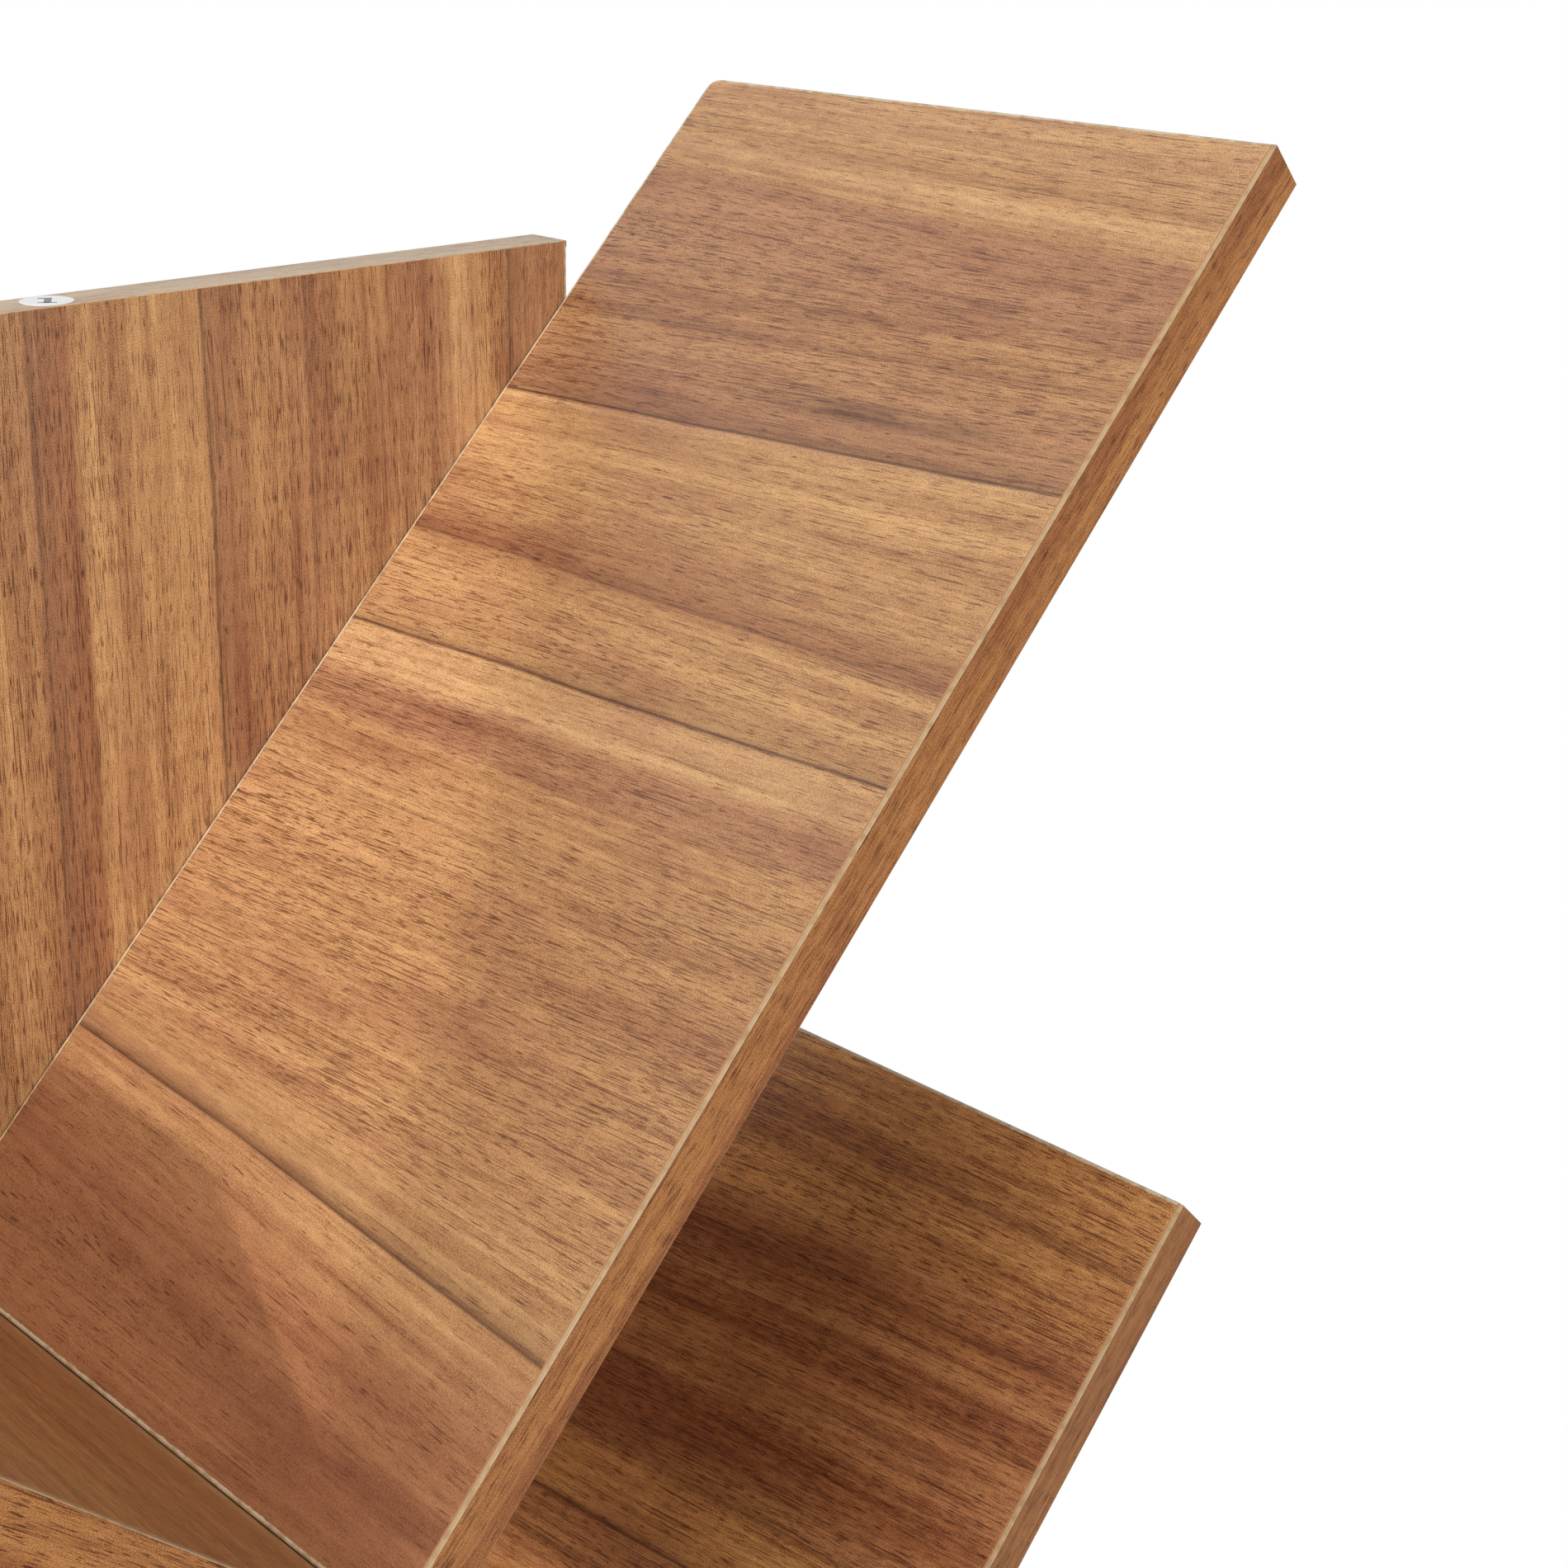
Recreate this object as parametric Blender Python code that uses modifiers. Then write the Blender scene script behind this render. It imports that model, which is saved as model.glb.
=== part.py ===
"""Tree bookshelf: V-shaped tiers of sloping shelves on a tall back panel, over a low plinth.

X runs to the right, Y to the back and Z up. The origin is on the floor, under the middle of the bookshelf.
Each arm of a V has its own empty at the V's inside corner, tilted with the shelf, so that a shelf, its edge
band and its screws are placed in plain distances along the board.
"""
import math

import bmesh
import bpy
from mathutils import Matrix, Vector

# Boards
BOARD = 0.015
SHELF_DEPTH = 0.200
SHELF_LENGTH = 0.400
PANEL_WIDTH = 0.450
PANEL_RISE = 0.015
TIERS = 4
TIER_PITCH = 0.300
SLOPE = math.pi / 4
ARRIS = 0.0005
CORNER_ROUND = 0.004
CORNER_SEGMENTS = 4

# Edge bands
BAND = 0.001
BAND_ARRIS = 0.0003

# Plinth
PLINTH_HEIGHT = 0.075
PLINTH_SETBACK = 0.010
KICK_SETBACK = 0.020

# Panel screws, with a sunk countersunk head, a plain neck and a thinner threaded stem
SCREW_LENGTH = 0.050
SCREW_SINK = 0.0006
HEAD_DIAMETER = 0.010
HEAD_RIM = 0.0008
NECK_DIAMETER = 0.007
NECK_LENGTH = 0.011
STEM_DIAMETER = 0.005
TIP_DIAMETER = 0.0032
SOCKET_WIDTH = 0.004
SOCKET_DEPTH = 0.0025

# Where the screws go: along a shelf from the V's corner, in from the panel's side, and in from front and back
SHELF_SCREW_FROM_CORNER = 0.075
SHELF_SCREW_FROM_SIDE = 0.035
CORNER_SCREW_FROM_EDGE = 0.045
BASE_SCREW_FROM_SIDE = 0.105

# Dowels
DOWEL_DIAMETER = 0.008
DOWEL_LENGTH = 0.030
DOWEL_CHAMFER = 0.001
DOWEL_COVER = 0.005

# Glides, each a round foot with a spigot in the board's lower edge
GLIDE_DIAMETER = 0.012
GLIDE_HEIGHT = 0.005
GLIDE_EDGE = 0.001
GLIDE_FROM_FRONT = 0.020
SPIGOT_DIAMETER = 0.005
SPIGOT_LENGTH = 0.010

# Fit
CLEARANCE = 0.0003
OVERCUT = 0.002
ROUND_SEGMENTS = 12
SEAM = 0.00001
CRISP_ANGLE = math.radians(40)

# Places worked out from the sizes above
FRONT = -(SHELF_DEPTH + BOARD) / 2
PANEL_FRONT = FRONT + SHELF_DEPTH
PANEL_BACK = PANEL_FRONT + BOARD
PANEL_MIDDLE = PANEL_FRONT + BOARD / 2
BOARD_FRONT = FRONT + BAND + CLEARANCE
BOARD_BACK = PANEL_FRONT - CLEARANCE
SIDE = PANEL_WIDTH / 2
SIDE_MIDDLE = SIDE - BOARD / 2
PLINTH_BOTTOM = GLIDE_HEIGHT + CLEARANCE
PLINTH_TOP = PLINTH_BOTTOM + PLINTH_HEIGHT
BASE_BOTTOM = PLINTH_TOP + CLEARANCE
BASE_TOP = BASE_BOTTOM + BOARD
FIRST_CORNER = BASE_TOP + CLEARANCE + BOARD / math.cos(SLOPE)
TOP_CORNER = FIRST_CORNER + (TIERS - 1) * TIER_PITCH
PANEL_TOP = TOP_CORNER + SIDE * math.tan(SLOPE) + PANEL_RISE
PLINTH_MIDDLE = (PLINTH_BOTTOM + PLINTH_TOP) / 2
DOWEL_REACH = BOARD - DOWEL_COVER - DOWEL_LENGTH / 2

for thing in list(bpy.data.objects):
    bpy.data.objects.remove(thing)


def new_collection(name):
    """A collection of the scene."""
    collection = bpy.data.collections.new(name)
    bpy.context.scene.collection.children.link(collection)
    return collection


PARTS = new_collection("tree_bookshelf")
BORES = new_collection("bores")


def principled(name, color, roughness, metallic=0.0):
    """A plain Principled material."""
    material = bpy.data.materials.new(name)
    material.use_nodes = True
    shader = material.node_tree.nodes["Principled BSDF"]
    shader.inputs["Base Color"].default_value = (*color, 1.0)
    shader.inputs["Roughness"].default_value = roughness
    shader.inputs["Metallic"].default_value = metallic
    return material


WALNUT = principled("walnut_melamine", (0.36, 0.17, 0.075), 0.35)
BANDING = principled("walnut_edge_band", (0.33, 0.17, 0.075), 0.40)
PALE_BANDING = principled("pale_edge_band", (0.50, 0.36, 0.22), 0.45)
STEEL = principled("zinc_plated_steel", (0.60, 0.60, 0.58), 0.35, 1.0)
BEECH = principled("beech", (0.62, 0.44, 0.26), 0.60)
PLASTIC = principled("dark_plastic", (0.03, 0.03, 0.03), 0.50)


def empty(name, location, tilt=0.0):
    """An empty that carries pieces, tilted about Y."""
    carrier = bpy.data.objects.new(name, None)
    carrier.location = location
    carrier.rotation_euler = (0.0, tilt, 0.0)
    PARTS.objects.link(carrier)
    return carrier


def place(name, mesh, carrier, location=(0.0, 0.0, 0.0), rotation=None, collection=PARTS):
    """An object with the given mesh, in a carrier's frame."""
    piece = bpy.data.objects.new(name, mesh)
    piece.parent = carrier
    piece.location = location
    if rotation is not None:
        piece.rotation_mode = "QUATERNION"
        piece.rotation_quaternion = rotation
    collection.objects.link(piece)
    return piece


def box_mesh(name, x_span, y_span, z_span):
    """A box between the given spans."""
    spans = (x_span, y_span, z_span)
    centre = Vector([(low + high) / 2 for low, high in spans])
    size = Vector([high - low for low, high in spans])
    shape = bmesh.new()
    bmesh.ops.create_cube(shape, size=1.0, matrix=Matrix.Translation(centre) @ Matrix.Diagonal((*size, 1.0)))
    mesh = bpy.data.meshes.new(name)
    shape.to_mesh(mesh)
    shape.free()
    return mesh


def round_corner(mesh, x, y):
    """Round the corner of a board that stands at the given x and y."""
    shape = bmesh.new()
    shape.from_mesh(mesh)
    corner = [
        edge for edge in shape.edges
        if all(abs(end.co.x - x) + abs(end.co.y - y) < SEAM for end in edge.verts)
    ]
    bmesh.ops.bevel(
        shape,
        geom=corner,
        affect="EDGES",
        offset=CORNER_ROUND,
        segments=CORNER_SEGMENTS,
        profile=0.5,
    )
    shape.to_mesh(mesh)
    shape.free()


def ease_edges(piece, width):
    """Break the sharp edges of a board or a band."""
    bevel = piece.modifiers.new("Arris", "BEVEL")
    bevel.width = width
    bevel.segments = 1
    bevel.limit_method = "ANGLE"


def board(name, carrier, x_span, y_span, z_span):
    """A melamine-faced board, with its edges eased and every bore that reaches it cut out."""
    mesh = box_mesh(name, x_span, y_span, z_span)
    mesh.materials.append(WALNUT)
    piece = place(name, mesh, carrier)
    ease_edges(piece, ARRIS)
    drill = piece.modifiers.new("Bores", "BOOLEAN")
    drill.operation = "DIFFERENCE"
    drill.operand_type = "COLLECTION"
    drill.collection = BORES
    return piece


def band(name, carrier, x_span, y_span, z_span, material=BANDING):
    """A thin strip of edge banding."""
    mesh = box_mesh(name, x_span, y_span, z_span)
    mesh.materials.append(material)
    piece = place(name, mesh, carrier)
    ease_edges(piece, BAND_ARRIS)
    return piece


def finished(blank):
    """The mesh of a blank with its modifiers, for pieces that share it; the blank is thrown away."""
    graph = bpy.context.evaluated_depsgraph_get()
    mesh = bpy.data.meshes.new_from_object(blank.evaluated_get(graph))
    bpy.data.objects.remove(blank)
    return mesh


def turned_blank(name, profile):
    """An object turned about Z from points of radius and height, listed from its top down its outside."""
    mesh = bpy.data.meshes.new(name)
    points = [(radius, 0.0, height) for radius, height in profile]
    edges = [(index, index + 1) for index in range(len(points) - 1)]
    mesh.from_pydata(points, edges, [])
    blank = bpy.data.objects.new(name, mesh)
    PARTS.objects.link(blank)
    turn = blank.modifiers.new("Turn", "SCREW")
    turn.steps = ROUND_SEGMENTS
    turn.render_steps = ROUND_SEGMENTS
    turn.use_merge_vertices = True
    turn.merge_threshold = SEAM
    return blank


def smooth(mesh, material):
    """Shade a turned mesh round, with crisp steps."""
    mesh.materials.clear()
    mesh.materials.append(material)
    mesh.shade_smooth()
    mesh.set_sharp_from_angle(angle=CRISP_ANGLE)
    return mesh


def screw_profile(growth, head_top, tip):
    """Outline of a panel screw, or of its bore if growth is the clearance, below a face at height 0."""
    head = HEAD_DIAMETER / 2 + growth
    neck = NECK_DIAMETER / 2 + growth
    stem = STEM_DIAMETER / 2 + growth
    point = TIP_DIAMETER / 2 + growth
    rim_end = -SCREW_SINK - HEAD_RIM
    cone_end = rim_end - (head - neck)
    neck_end = cone_end - NECK_LENGTH
    stem_start = neck_end - (neck - stem)
    stem_end = tip + (stem - point)
    return [
        (0.0, head_top),
        (head, head_top),
        (head, rim_end),
        (neck, cone_end),
        (neck, neck_end),
        (stem, stem_start),
        (stem, stem_end),
        (point, tip),
        (0.0, tip),
    ]


def screw_mesh():
    """A panel screw with a hexagon socket in its head."""
    key = bmesh.new()
    socket_radius = SOCKET_WIDTH / 2 / math.cos(math.pi / 6)
    socket_height = SOCKET_DEPTH + OVERCUT
    socket_centre = -SCREW_SINK - SOCKET_DEPTH + socket_height / 2
    bmesh.ops.create_cone(
        key,
        cap_ends=True,
        segments=6,
        radius1=socket_radius,
        radius2=socket_radius,
        depth=socket_height,
        matrix=Matrix.Translation((0.0, 0.0, socket_centre)),
    )
    key_mesh = bpy.data.meshes.new("hexagon_key")
    key.to_mesh(key_mesh)
    key.free()
    key_tool = place("hexagon_key", key_mesh, None, collection=BORES)
    blank = turned_blank("screw_blank", screw_profile(0.0, -SCREW_SINK, -SCREW_SINK - SCREW_LENGTH))
    socket = blank.modifiers.new("Socket", "BOOLEAN")
    socket.object = key_tool
    mesh = finished(blank)
    bpy.data.objects.remove(key_tool)
    return smooth(mesh, STEEL)


def dowel_profile(growth):
    """Outline of a dowel with chamfered ends, standing half above and half below its middle."""
    radius = DOWEL_DIAMETER / 2 + growth
    half = DOWEL_LENGTH / 2 + growth
    end = radius - DOWEL_CHAMFER
    shoulder = half - DOWEL_CHAMFER
    return [(0.0, half), (end, half), (radius, shoulder), (radius, -shoulder), (end, -half), (0.0, -half)]


def glide_profile():
    """Outline of a glide: the spigot above, then the foot with its eased lower edge on the floor."""
    spigot = SPIGOT_DIAMETER / 2
    foot = GLIDE_DIAMETER / 2
    top = GLIDE_HEIGHT + SPIGOT_LENGTH
    return [
        (0.0, top),
        (spigot, top),
        (spigot, GLIDE_HEIGHT),
        (foot, GLIDE_HEIGHT),
        (foot, GLIDE_EDGE),
        (foot - GLIDE_EDGE, 0.0),
        (0.0, 0.0),
    ]


def spigot_bore_profile():
    """Outline of the bore that takes a glide's spigot, open below."""
    radius = SPIGOT_DIAMETER / 2 + CLEARANCE
    top = GLIDE_HEIGHT + SPIGOT_LENGTH + CLEARANCE
    bottom = PLINTH_BOTTOM - OVERCUT
    return [(0.0, top), (radius, top), (radius, bottom), (0.0, bottom)]


SCREW = screw_mesh()
SCREW_BORE = finished(turned_blank("screw_bore", screw_profile(
    CLEARANCE, OVERCUT, -SCREW_SINK - SCREW_LENGTH - CLEARANCE)))
DOWEL = smooth(finished(turned_blank("dowel", dowel_profile(0.0))), BEECH)
DOWEL_BORE = finished(turned_blank("dowel_bore", dowel_profile(CLEARANCE)))
GLIDE = smooth(finished(turned_blank("glide", glide_profile())), PLASTIC)
SPIGOT_BORE = finished(turned_blank("spigot_bore", spigot_bore_profile()))


def fit_in_bore(name, mesh, bore_mesh, carrier, location, rotation=None):
    """A fastener, and the cutter of its bore in the same place."""
    place(name, mesh, carrier, location, rotation)
    cutter = place(name + "_bore", bore_mesh, carrier, location, rotation, BORES)
    cutter.hide_render = True
    cutter.display_type = "WIRE"


def drive_screw(name, carrier, location, direction):
    """A panel screw whose head lies at the given point of a board's face, driven in the given direction."""
    rotation = Vector(direction).to_track_quat("-Z", "Y")
    fit_in_bore(name, SCREW, SCREW_BORE, carrier, location, rotation)


def shelf_arm(tier, corner, side_name, side):
    """One arm of a V: the shelf, its front band and the two screws that hold it to the back panel.

    The right shelf starts at the corner. The left one runs on below the right one's end, to its underside.
    """
    arm = empty(f"{side_name}_arm_{tier}", (0.0, 0.0, corner), -side * SLOPE)
    butt = CLEARANCE if side > 0 else BOARD
    along = sorted((butt, side * SHELF_LENGTH))
    thickness = (-BOARD, 0.0)
    shelf = board(f"{side_name}_shelf_{tier}", arm, along, (BOARD_FRONT, BOARD_BACK), thickness)
    round_corner(shelf.data, side * SHELF_LENGTH, BOARD_BACK)
    band(f"{side_name}_shelf_band_{tier}", arm, along, (FRONT, FRONT + BAND), thickness)
    last = (SIDE - SHELF_SCREW_FROM_SIDE) / math.cos(SLOPE)
    for place_name, distance in (("inner", SHELF_SCREW_FROM_CORNER), ("outer", last)):
        head = (side * distance, PANEL_BACK, -BOARD / 2)
        drive_screw(f"{side_name}_shelf_screw_{tier}_{place_name}", arm, head, (0.0, -1.0, 0.0))
    return arm


def v_tier(tier, corner):
    """A V: the right shelf's end stands on the left shelf, which two screws fix from below."""
    shelf_arm(tier, corner, "left", -1)
    arm = shelf_arm(tier, corner, "right", 1)
    for place_name, depth in (
        ("front", BOARD_FRONT + CORNER_SCREW_FROM_EDGE),
        ("rear", BOARD_BACK - CORNER_SCREW_FROM_EDGE),
    ):
        head = (-BOARD, depth, -BOARD / 2)
        drive_screw(f"corner_screw_{tier}_{place_name}", arm, head, (1.0, 0.0, 0.0))


def back_panel(stand):
    """The tall panel that every shelf is screwed to, with its pale top band."""
    body_top = PANEL_TOP - BAND - CLEARANCE
    thickness = (PANEL_FRONT, PANEL_BACK)
    board("back_panel", stand, (-SIDE, SIDE), thickness, (PLINTH_BOTTOM, body_top))
    band("panel_top_band", stand, (-SIDE, SIDE), thickness, (PANEL_TOP - BAND, PANEL_TOP), PALE_BANDING)


def plinth(stand):
    """The base board under the lowest V, on two plinth sides and a kick board, with four glides."""
    width = (-SIDE, SIDE)
    base_height = (BASE_BOTTOM, BASE_TOP)
    plinth_span = (PLINTH_BOTTOM, PLINTH_TOP)
    side_front = FRONT + PLINTH_SETBACK
    kick_front = side_front + KICK_SETBACK
    kick_middle = kick_front + BOARD / 2
    kick_end = SIDE - BOARD - CLEARANCE
    board("base_board", stand, width, (BOARD_FRONT, BOARD_BACK), base_height)
    band("base_band", stand, width, (FRONT, FRONT + BAND), base_height)
    board("kick_board", stand, (-kick_end, kick_end), (kick_front, kick_front + BOARD), plinth_span)
    toward_x = Vector((1.0, 0.0, 0.0)).to_track_quat("Z", "Y")
    for side_name, side in (("left", -1), ("right", 1)):
        thickness = sorted((side * SIDE, side * (SIDE - BOARD)))
        board(f"plinth_side_{side_name}", stand, thickness, (side_front, BOARD_BACK), plinth_span)
        base_head = (side * (SIDE - BASE_SCREW_FROM_SIDE), PANEL_BACK, BASE_BOTTOM + BOARD / 2)
        drive_screw(f"base_screw_{side_name}", stand, base_head, (0.0, -1.0, 0.0))
        plinth_head = (side * SIDE_MIDDLE, PANEL_BACK, PLINTH_MIDDLE)
        drive_screw(f"plinth_screw_{side_name}", stand, plinth_head, (0.0, -1.0, 0.0))
        upright = (side * SIDE_MIDDLE, (side_front + BOARD_BACK) / 2, BASE_BOTTOM + DOWEL_REACH)
        fit_in_bore(f"base_dowel_{side_name}", DOWEL, DOWEL_BORE, stand, upright)
        level = (side * (SIDE - BOARD + DOWEL_REACH), kick_middle, PLINTH_MIDDLE)
        fit_in_bore(f"kick_dowel_{side_name}", DOWEL, DOWEL_BORE, stand, level, toward_x)
        for row_name, depth in (("front", side_front + GLIDE_FROM_FRONT), ("rear", PANEL_MIDDLE)):
            foot = (side * SIDE_MIDDLE, depth, 0.0)
            fit_in_bore(f"glide_{row_name}_{side_name}", GLIDE, SPIGOT_BORE, stand, foot)


STAND = empty("bookshelf_origin", (0.0, 0.0, 0.0))
back_panel(STAND)
plinth(STAND)
for number in range(TIERS):
    v_tier(number + 1, FIRST_CORNER + number * TIER_PITCH)

print("height", round(TOP_CORNER + SHELF_LENGTH * math.sin(SLOPE), 4))
print("width", round(2 * (SHELF_LENGTH + BOARD) * math.cos(SLOPE), 4))
print("depth", round(PANEL_BACK - FRONT, 4))
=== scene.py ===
# %% [markdown]
# # Tree bookshelf: the looks
# The frame already holds every board, screw and glide in its place. This lesson dresses them: a walnut
# print on the melamine boards, trimmed edge bands, steel, beech and plastic, then a floor, lamps and a
# camera. A real shelf like this is plain board, so nearly all of its character is in the print and in the
# thin pale lines at its edges.

# %% Load the frame
import math

import bmesh
import bpy
from mathutils import Matrix, Vector


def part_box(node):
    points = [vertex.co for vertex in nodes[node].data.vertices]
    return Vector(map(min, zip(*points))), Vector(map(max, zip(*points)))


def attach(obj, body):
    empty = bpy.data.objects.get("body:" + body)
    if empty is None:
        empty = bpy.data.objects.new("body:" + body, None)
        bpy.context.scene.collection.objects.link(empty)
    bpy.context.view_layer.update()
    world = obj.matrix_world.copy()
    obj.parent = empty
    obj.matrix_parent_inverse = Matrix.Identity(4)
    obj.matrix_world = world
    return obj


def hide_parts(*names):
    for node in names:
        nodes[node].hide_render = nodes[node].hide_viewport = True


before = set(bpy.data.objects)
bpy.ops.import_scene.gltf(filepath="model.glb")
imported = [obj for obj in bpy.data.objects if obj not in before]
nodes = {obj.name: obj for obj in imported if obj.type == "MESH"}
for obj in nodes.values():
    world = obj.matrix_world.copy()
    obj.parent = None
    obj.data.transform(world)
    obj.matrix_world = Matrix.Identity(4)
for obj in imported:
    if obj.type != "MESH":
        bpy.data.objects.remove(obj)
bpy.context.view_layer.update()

# %% [markdown]
# ## Sizes taken from the frame
# A shelf is easiest to describe along its own slope: the V's inside corner is its zero, and the board runs
# 400 mm up from there at 45 degrees. Heights and faces are measured on the frame, so the looks can't drift
# from the CAD.

# %% Measure the frame
SLOPE = math.radians(45)
BOARD = 0.015
SHELF_LENGTH = 0.400
FIT_GAP = 0.0003
SIDES = {"left": -1, "right": 1}
TIERS = (1, 2, 3, 4)

panel_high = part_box("back_panel")[1]
top_band_low, top_band_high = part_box("panel_top_band")
shelf_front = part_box("right_shelf_band_1")[0].y
board_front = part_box("right_shelf_1")[0].y
base_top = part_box("base_board")[1].z
tier_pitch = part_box("right_shelf_2")[0].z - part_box("right_shelf_1")[0].z
first_corner = base_top + FIT_GAP + BOARD / math.cos(SLOPE)
corner_height = {tier: first_corner + (tier - 1) * tier_pitch for tier in TIERS}
print("pitch", round(tier_pitch, 4), "top corner", round(corner_height[4], 4))
print("front", round(shelf_front, 4))

# %% [markdown]
# ## Small helpers for shader nodes
# A shader tree is easier to read as sums and products than as a list of links. Each helper adds one node,
# plugs in numbers or sockets, and hands back the socket that the next step needs.

# %% Shader helpers
def plug(tree, socket, value):
    """Link a socket to an input, or set the input to a plain value."""
    if isinstance(value, bpy.types.NodeSocket):
        tree.links.new(value, socket)
    else:
        socket.default_value = value


def maths(tree, operation, *values):
    """A Math node, clamped nowhere."""
    node = tree.nodes.new("ShaderNodeMath")
    node.operation = operation
    for socket, value in zip(node.inputs, values):
        plug(tree, socket, value)
    return node.outputs["Value"]


def stretched(tree, vector, factors):
    """A vector with each of its parts multiplied."""
    node = tree.nodes.new("ShaderNodeVectorMath")
    node.operation = "MULTIPLY"
    plug(tree, node.inputs[0], vector)
    plug(tree, node.inputs[1], factors)
    return node.outputs["Vector"]


def noise(tree, vector, detail, roughness=0.5):
    """A noise between about 0.2 and 0.8, one cell to a unit of the vector."""
    node = tree.nodes.new("ShaderNodeTexNoise")
    plug(tree, node.inputs["Vector"], vector)
    plug(tree, node.inputs["Scale"], 1.0)
    plug(tree, node.inputs["Detail"], detail)
    plug(tree, node.inputs["Roughness"], roughness)
    return node.outputs["Fac"]


def remap(tree, value, span, onto, smooth=False):
    """A value's span laid onto another, and clamped there."""
    node = tree.nodes.new("ShaderNodeMapRange")
    node.interpolation_type = "SMOOTHSTEP" if smooth else "LINEAR"
    labels = ("Value", "From Min", "From Max", "To Min", "To Max")
    for label, amount in zip(labels, (value, *span, *onto)):
        plug(tree, node.inputs[label], amount)
    return node.outputs["Result"]


def mixed(tree, factor, first, second, blend="MIX"):
    """Two colours mixed."""
    node = tree.nodes.new("ShaderNodeMix")
    node.data_type = "RGBA"
    node.blend_type = blend
    plug(tree, node.inputs["Factor"], factor)
    for label, value in (("A", first), ("B", second)):
        socket = [s for s in node.inputs if s.name == label and s.type == "RGBA"][0]
        plug(tree, socket, value)
    return [s for s in node.outputs if s.type == "RGBA"][0]


def parts(tree, vector):
    """The three parts of a vector."""
    node = tree.nodes.new("ShaderNodeSeparateXYZ")
    plug(tree, node.inputs[0], vector)
    return node.outputs[:]


def joined(tree, x, y, z):
    """A vector from three parts."""
    node = tree.nodes.new("ShaderNodeCombineXYZ")
    for socket, value in zip(node.inputs, (x, y, z)):
        plug(tree, socket, value)
    return node.outputs[0]


print("node helpers ready")

# %% [markdown]
# ## Groups and materials
# An effect that several finishes share is built once, as a node group with named inputs and outputs, and
# then placed in each material with its own values. The materials read Object coordinates. Every piece sits
# unturned at the origin, so these are simply metres of the frame.

# %% Group and material helpers
BUMP_DISTANCE = 0.0002


def new_group(name, takes, gives):
    """An empty shader group with named inputs and outputs, given as (label, socket kind)."""
    tree = bpy.data.node_groups.new(name, "ShaderNodeTree")
    for label, kind in takes:
        tree.interface.new_socket(label, in_out="INPUT", socket_type=f"NodeSocket{kind}")
    for label, kind in gives:
        tree.interface.new_socket(label, in_out="OUTPUT", socket_type=f"NodeSocket{kind}")
    return tree, tree.nodes.new("NodeGroupInput").outputs, tree.nodes.new("NodeGroupOutput").inputs


def use_group(tree, group, **values):
    """A group placed in a tree, with its inputs plugged by label."""
    node = tree.nodes.new("ShaderNodeGroup")
    node.node_tree = group
    for label, value in values.items():
        plug(tree, node.inputs[label], value)
    return node.outputs


def new_material(name):
    """A material with a bare Principled shader: the tree and the shader's inputs."""
    material = bpy.data.materials.new(name)
    material.use_nodes = True
    shader = material.node_tree.nodes["Principled BSDF"]
    return material, material.node_tree, shader.inputs


def object_place(tree):
    """The point that is shaded, in metres of the frame."""
    return tree.nodes.new("ShaderNodeTexCoord").outputs["Object"]


def add_bump(tree, surface, height, strength):
    """A fine relief on a surface."""
    bump = tree.nodes.new("ShaderNodeBump")
    bump.inputs["Strength"].default_value = strength
    bump.inputs["Distance"].default_value = BUMP_DISTANCE
    plug(tree, bump.inputs["Height"], height)
    plug(tree, surface["Normal"], bump.outputs["Normal"])


print("group helpers ready")

# %% [markdown]
# ## How the grain runs
# Walnut veneer shows long lines that waver and draw together along the board. The print copies that, so the
# first group takes a point of the board, in metres across and along the grain, and bends it: a lean that
# lets the lines draw together, a slow wave and a quick one. All later patterns read the bent place, and so
# they flow as one.

# %% Grain field
SLOW_WAVE = (4.0, 2.6, 1.0)
QUICK_WAVE = (38.0, 11.0, 1.0)
QUICK_SHARE = 0.22

field, taken, given = new_group(
    "grain_field",
    (("Board", "Vector"), ("Lean", "Float"), ("Wave", "Float"), ("Seed", "Float")),
    (("Across", "Float"), ("Grain", "Vector")),
)
across, along, _ = parts(field, taken["Board"])
drawn = maths(field, "SUBTRACT", across, maths(field, "MULTIPLY", along, taken["Lean"]))
seeded = joined(field, across, along, taken["Seed"])
slow = maths(field, "SUBTRACT", noise(field, stretched(field, seeded, SLOW_WAVE), 1.0), 0.5)
quick = maths(field, "SUBTRACT", noise(field, stretched(field, seeded, QUICK_WAVE), 2.0), 0.5)
wave = maths(field, "MULTIPLY_ADD", quick, QUICK_SHARE, slow)
bent = maths(field, "MULTIPLY_ADD", wave, taken["Wave"], drawn)
plug(field, given["Across"], bent)
plug(field, given["Grain"], joined(field, bent, along, taken["Seed"]))
print("group", field.name, "nodes", len(field.nodes))

# %% [markdown]
# ## A dark growth line
# Where one season's wood ends, walnut has a thin dark line: sharp on one side, and fading over a few
# millimetres on the other. One group draws such a line at a given place across the grain, and each board
# gets its own handful.

# %% Growth line
LINE_WIDTH = 0.0006
FADE_SHARE = 0.44

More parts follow.
